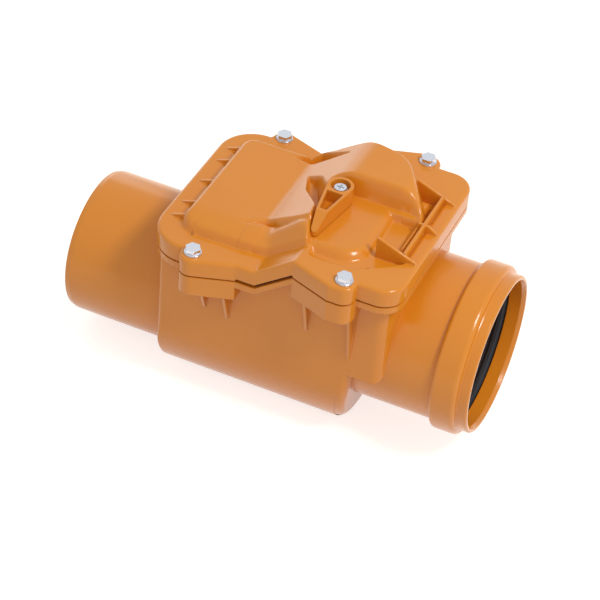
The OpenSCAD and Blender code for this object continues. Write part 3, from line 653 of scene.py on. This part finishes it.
    def valley(self, x: np.ndarray, y: np.ndarray) -> np.ndarray:
        """Heights of the wedge-shaped valley between the slope and the ridge.

        It is a V whose floor dips from the low dome and then climbs, with walls that steepen along it.

        Args:
            x: Places along the line.
            y: Places across it.

        Returns:
            Heights.
        """
        dip = self.low_z - self.valley_dip * (x - self.valley_line[0][0])
        floor = soft_max(dip, self.valley_climb_z + self.valley_climb * x, round_mm=2.0)
        beside = y - np.interp(x, *self.valley_line)
        wall = np.interp(x, *self.valley_wall)
        return floor + wall * soft_max(beside, -self.valley_front_share * beside, round_mm=0.6)

    def back_groove(self, x: np.ndarray, y: np.ndarray) -> np.ndarray:
        """Heights of the pointed groove near the back of the slope: a V that is deepest in its middle.

        Args:
            x: Places along the line.
            y: Places across it.

        Returns:
            Heights.
        """
        surface = self.low_z + self.slope_rise * past(x, self.slope_start)
        beside = y - np.interp(x, *self.groove_line)
        walls = soft_max(self.groove_back_wall * beside, -self.groove_front_wall * beside, round_mm=1.0)
        return surface - np.interp(x, *self.groove_depth) + walls

    def recess(self, x: np.ndarray, y: np.ndarray) -> np.ndarray:
        """Heights that the lever's recess leaves: the table's level, and a steep wall outside its plan.

        Args:
            x: Places along the line.
            y: Places across it.

        Returns:
            Heights.
        """
        return self.table_z + self.recess_wall * convex_distance(x, y, self.recess_plan, round_mm=10.0)

    def high_half(self, x: np.ndarray, y: np.ndarray, rim: np.ndarray) -> np.ndarray:
        """Heights of the slope and the high dome, less the lever's recess and the slot beside it.

        The top is the lower of the slope's plane and the dome's flat, whose end rolls off with the square of
        the distance. Flanks fall outside a convex plan, and the recess and the slanting slot hold the heights
        down to steep walls that start at their plans.

        Args:
            x: Places along the line.
            y: Places across it.
            rim: Height of the rim there.

        Returns:
            Heights.
        """
        slope = self.low_z + self.slope_rise * (x - self.slope_start)
        top = soft_min(slope, self.high_z, round_mm=6.0) - self.roll_per_mm * past(x, self.roll_start) ** 2
        outside = convex_distance(x, y, self.dome_plan, round_mm=8.0)
        flank = rim + self.dome_fall * (self.dome_margin - outside)
        slot_z = self.table_z - self.slot_depth
        slot_side = slot_z + self.slot_wall * convex_distance(x, y, self.slot_plan, round_mm=1.5)
        slot = soft_max(slot_side, slot_z, round_mm=2.0)
        dome = soft_min(soft_min(top, flank, round_mm=6.0), self.recess(x, y), round_mm=14.0)
        return soft_min(dome, slot, round_mm=3.0)

    def welled_rim(self, x: np.ndarray, y: np.ndarray, rim: np.ndarray) -> np.ndarray:
        """Heights of the rim with its wells, whose walls climb from the nearer of two plans.

        Args:
            x: Places along the line.
            y: Places across it.
            rim: Height of the rim there.

        Returns:
            Heights.
        """
        front = box_distance(x, y, self.front_well, corner=4.0)
        end = convex_distance(x, y, self.end_well, round_mm=2.0)
        well = soft_max(self.well_z + self.well_wall * np.minimum(front, end), self.well_z, round_mm=2.0)
        return soft_min(rim, well, round_mm=2.0)

    def ledge(self, x: np.ndarray, y: np.ndarray) -> np.ndarray:
        """Heights of the table under the lever and of the strip behind it, and 0 away from them.

        Both are flat tops with sides that fall outside a rounded rectangle. The table's top also falls away
        towards the slope.

        Args:
            x: Places along the line.
            y: Places across it.

        Returns:
            Heights.
        """
        level = soft_min(self.table_z + self.table_rise * (x - self.table_start), self.table_z, round_mm=4.0)
        outside = box_distance(x, y, self.table_plan, self.table_corner)
        table = level - self.table_drop + self.table_fall * (self.table_margin - outside)
        table = soft_min(table, level, round_mm=7.0)
        outside = box_distance(x, y, self.strip_plan, corner=3.0)
        strip = self.well_z + self.strip_fall * (self.strip_margin - outside)
        strip = soft_min(strip, self.table_z, round_mm=3.0)
        near = (x > self.ledge_from_x) | (y < self.ledge_to_y)
        return np.where(near, np.maximum(table, strip), 0.0)

    def top(self, x: np.ndarray, y: np.ndarray, edge: np.ndarray) -> np.ndarray:
        """Heights of the whole upper side.

        The highest of the rim, the low half and the high half is cut by the valley and the groove, the ledge
        is laid over it, and towards the outline it all drops along a quarter circle.

        Args:
            x: Places along the line.
            y: Places across it.
            edge: Distances from the outline.

        Returns:
            Heights.
        """
        rim = self.rim(x)
        height = soft_max(self.welled_rim(x, y, rim), self.low_half(x, y, rim), round_mm=1.2)
        height = soft_max(height, self.high_half(x, y, rim), round_mm=2.0)
        height = soft_min(height, self.valley(x, y), round_mm=1.6)
        height = soft_min(height, self.back_groove(x, y), round_mm=1.0)
        height = soft_max(height, self.ledge(x, y), round_mm=1.2)
        lack = np.clip(self.edge_round - edge, 0.0, self.edge_round)
        return height - self.edge_round + np.sqrt(self.edge_round ** 2 - lack ** 2)

    def underside(self, x: np.ndarray, y: np.ndarray, edge: np.ndarray) -> np.ndarray:
        """Heights of the lower side: the joint face, the rooms under the domes and the spindle's boss.

        The face climbs straight along the ramp. Each room lifts it by a steep wall inside a rounded
        rectangle, up to a ceiling. The boss holds the ceiling down, the skirt reaches down at the ears and
        the ends, and a bevel lifts the outline.

        Args:
            x: Places along the line.
            y: Places across it.
            edge: Distances from the outline.

        Returns:
            Heights.
        """
        climbed = np.clip((x - self.ramp[0]) / (self.ramp[1] - self.ramp[0]), 0.0, 1.0)
        face = self.underside_z + self.climb_mm * climbed
        height = face.copy()
        for box, ceiling in self.rooms:
            room = face - self.room_wall * box_distance(x, y, box, corner=3.0)
            height = np.maximum(height, np.minimum(room, ceiling))
        over_boss = np.hypot(x - self.pivot_x, y) < self.boss
        height = np.where(over_boss, np.minimum(height, self.boss_z), height)
        low_x, high_x = self.low_bolt[0], self.high_bolt[0]
        low_ear = (x > low_x - self.ear) & (x < low_x + self.low_ear_run)
        high_ear = (x > self.ramp[1]) & (x < high_x + self.ear)
        end = (x < low_x - self.ear) | (x > high_x + self.ear)
        beside = np.abs(y) > self.half_width - self.skirt
        in_skirt = ((low_ear | high_ear) & beside) | (end & (edge < self.skirt))
        height = np.where(in_skirt, height - self.underside_z + self.joint_z + self.ear_gap, height)
        return height + np.clip(self.bevel - edge, 0.0, self.bevel)

    def skin(self, least_away: float = 0.01) -> tuple[np.ndarray, np.ndarray]:
        """Makes the closed skin: both sides over one grid, with walls at the outline and round the holes.

        Cells in a hole are left out, and the points round it move out to its circle.

        Args:
            least_away: Distance from a hole's middle under which a point counts as this far from it.

        Returns:
            Points and quads.
        """
        x, y = self.plan()
        middle_x = (x[:-1, :-1] + x[1:, 1:]) / 2
        middle_y = (y[:-1, :-1] + y[1:, 1:] + y[1:, :-1] + y[:-1, 1:]) / 4
        keep = np.ones(middle_x.shape, dtype=bool)
        holes = [(self.pivot_x, 0.0, self.spindle_hole)]
        for bolt_x, bolt_y in (self.low_bolt, self.high_bolt):
            holes += [(bolt_x, side * bolt_y, self.bolt_hole) for side in (-1, 1)]
        for hole_x, hole_y, radius in holes:
            gone = np.hypot(middle_x - hole_x, middle_y - hole_y) < radius
            keep &= ~gone
            ring = np.zeros(x.shape, dtype=bool)
            for di in (0, 1):
                for dj in (0, 1):
                    ring[di:di + gone.shape[0], dj:dj + gone.shape[1]] |= gone
            away = np.hypot(x - hole_x, y - hole_y)
            scale = np.where(ring, radius / np.maximum(away, least_away), 1.0)
            x = hole_x + (x - hole_x) * scale
            y = hole_y + (y - hole_y) * scale
        edge = self.edge_distance(x, y)
        upper = np.stack([x, y, self.top(x, y, edge)], axis=-1).reshape(-1, 3)
        lower = np.stack([x, y, self.underside(x, y, edge)], axis=-1).reshape(-1, 3)
        used, quads = np.unique(slab_quads(keep), return_inverse=True)
        return np.concatenate([upper, lower])[used], quads.reshape(-1, 4)

    def ribs(self) -> list[Solid]:
        """Makes the upright ribs: two end fins, the middle fin, the gussets of the low end and the cross rib.

        Each is a plate of its outline, set up along the line, or across it for the cross rib.

        Returns:
            Points and faces of each rib.
        """
        high_rim = self.rim_z + self.climb_mm
        made = []
        for outline, rim, places in ((self.fin, high_rim, self.fin_y),
                                     (self.middle_fin, high_rim, self.middle_fin_y),
                                     (self.gusset, self.rim_z, self.gusset_y)):
            points, faces = plate(np.array(outline) + (0.0, rim), self.rib, self.rib_edge)
            upright = np.stack([points[:, 0], -points[:, 2], points[:, 1]], axis=1)
            made += [(upright + np.array([0.0, place, 0.0]), faces) for place in places]
        points, faces = plate(np.array(self.cross_rib) + (0.0, high_rim), self.rib, self.rib_edge)
        made.append((np.stack([points[:, 2] + self.cross_x, points[:, 0], points[:, 1]], axis=1), faces))
        return made

    def build(self, skin_material: bpy.types.Material) -> None:
        """Builds the cover as one piece and sets it in the solid's place.

        Args:
            skin_material: Finish of the moulding.
        """
        points, quads = self.skin()
        all_points = [points]
        faces = quads.tolist()
        count = len(points)
        for rib_points, rib_faces in self.ribs():
            faces += [[number + count for number in face] for face in rib_faces]
            all_points.append(rib_points)
            count += len(rib_points)
        solid = np.concatenate(all_points) + np.array([0.0, 0.0, self.base_mm])
        piece = mesh_piece("cover_moulding", solid, faces)
        piece.data.materials.append(skin_material)
        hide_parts("cover")
        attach(piece, "housing")
        LOG.info("cover moulding: %d points, %d faces", count, len(faces))


@dataclass(frozen=True)
class Lamp:
    """A soft square lamp: its name, its place and side in metres, and its power."""

    name: str
    place_m: Triple
    side_m: float
    watts: float


@dataclass
class Studio:
    """Camera, floor, surroundings and lamps for a cut-out product picture.

    The floor's paint is in linear values, and its glow and the world's light are strengths where 1 is white.
    """

    lens_mm: float = 129.29
    sensor_mm: float = 36.0
    view_end_m: float = 50.0
    camera_mm: Triple = (439.3, -1129.6, 1104.65)
    aim_mm: Triple = (6.5, 0.0, 69.94)
    roll_deg: float = 5.30
    floor_half_m: float = 4.0
    floor_paint: Colour = (0.74, 0.68, 0.6, 1.0)
    floor_glow: float = 0.72
    world_colour: Colour = (1.0, 1.0, 1.0, 1.0)
    world_light: float = 0.62
    lamps: tuple[Lamp, ...] = (
        Lamp(name="key_lamp", place_m=(1.1, -0.35, 1.7), side_m=0.45, watts=18.0),
        Lamp(name="rim_lamp", place_m=(-1.3, 1.45, 0.42), side_m=1.2, watts=4.0))

    def camera(self) -> None:
        """Sets the camera at the picture's viewing angle, rolled a little clockwise."""
        data = bpy.data.cameras.new("picture_camera")
        data.sensor_width = self.sensor_mm
        data.lens = self.lens_mm
        data.clip_end = self.view_end_m
        camera = bpy.data.objects.new("picture_camera", data)
        bpy.context.collection.objects.link(camera)
        place = Vector(self.camera_mm) * MM
        ahead = (Vector(self.aim_mm) * MM - place).normalized()
        level = ahead.cross(Vector((0.0, 0.0, 1.0))).normalized()
        above = level.cross(ahead)
        turn = math.radians(self.roll_deg)
        right = level * math.cos(turn) + above * math.sin(turn)
        up = above * math.cos(turn) - level * math.sin(turn)
        axes = Matrix((right, up, -ahead)).transposed()
        camera.matrix_world = Matrix.Translation(place) @ axes.to_4x4()
        bpy.context.scene.camera = camera

    def surroundings(self) -> None:
        """White all round to the eye and in reflections, and a plain soft light on the surfaces."""
        world = bpy.data.worlds.new("white_room")
        bpy.context.scene.world = world
        world.use_nodes = True
        tree = world.node_tree
        tree.nodes.clear()
        strength = add_node(tree, "ShaderNodeMapRange", {
            "Value": seen_directly(tree), "To Min": self.world_light, "To Max": 1.0})
        white = add_node(tree, "ShaderNodeBackground", {
            "Color": self.world_colour, "Strength": strength.outputs["Result"]})
        add_node(tree, "ShaderNodeOutputWorld", {"Surface": white.outputs["Background"]})

    def floor(self) -> None:
        """Lays the pale floor that the valve stands on, white to the eye with a faint shadow."""
        half = self.floor_half_m
        corners = [(-half, -half, 0), (half, -half, 0), (half, half, 0), (-half, half, 0)]
        mesh = bpy.data.meshes.new("studio_floor")
        mesh.from_pydata(corners, [], [(0, 1, 2, 3)])
        floor = bpy.data.objects.new("studio_floor", mesh)
        bpy.context.collection.objects.link(floor)
        material, tree = empty_material("white_studio_floor")
        paint = add_node(tree, "ShaderNodeBsdfDiffuse", {"Color": self.floor_paint})
        strength = add_node(tree, "ShaderNodeMath", {
            0: seen_directly(tree), 1: self.floor_glow}, operation="MULTIPLY")
        glow = add_node(tree, "ShaderNodeEmission", {"Strength": strength.outputs["Value"]})
        both = add_node(tree, "ShaderNodeAddShader", {0: paint.outputs["BSDF"], 1: glow.outputs["Emission"]})
        add_node(tree, "ShaderNodeOutputMaterial", {"Surface": both.outputs["Shader"]})
        mesh.materials.append(material)

    def hang(self, lamp: Lamp) -> None:
        """Hangs one lamp so that it faces the valve.

        Args:
            lamp: The lamp.
        """
        data = bpy.data.lights.new(lamp.name, "AREA")
        data.size = lamp.side_m
        data.energy = lamp.watts
        hung = bpy.data.objects.new(lamp.name, data)
        bpy.context.collection.objects.link(hung)
        place = Vector(lamp.place_m)
        ahead = (Vector(self.aim_mm) * MM - place).normalized()
        hung.matrix_world = Matrix.Translation(place) @ ahead.to_track_quat("-Z", "Y").to_matrix().to_4x4()

    def build(self) -> None:
        """Sets up the whole studio."""
        self.camera()
        self.surroundings()
        self.floor()
        for lamp in self.lamps:
            self.hang(lamp)
        bpy.context.scene.view_settings.view_transform = "Standard"


def dress(made: dict[str, bpy.types.Material]) -> None:
    """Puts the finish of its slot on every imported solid.

    Args:
        made: Materials by slot.
    """
    for row in frame["record"]["subparts"]:
        node = frame["nodes"][row["node"]]
        node.data.materials.clear()
        node.data.materials.append(made[row["material_slot"]])
        LOG.info("dressed %s in %s", row["node"], row["material_slot"])


def main() -> None:
    """Builds the studio, the finishes, the dressed solids and the cover, in that order."""
    logging.basicConfig(level=logging.INFO)
    Studio().build()
    made = {finish.name.lower(): finish.value.material() for finish in Finish}
    dress(made)
    CoverMoulding().build(made["moulding"])


if __name__ == "__main__":
    main()
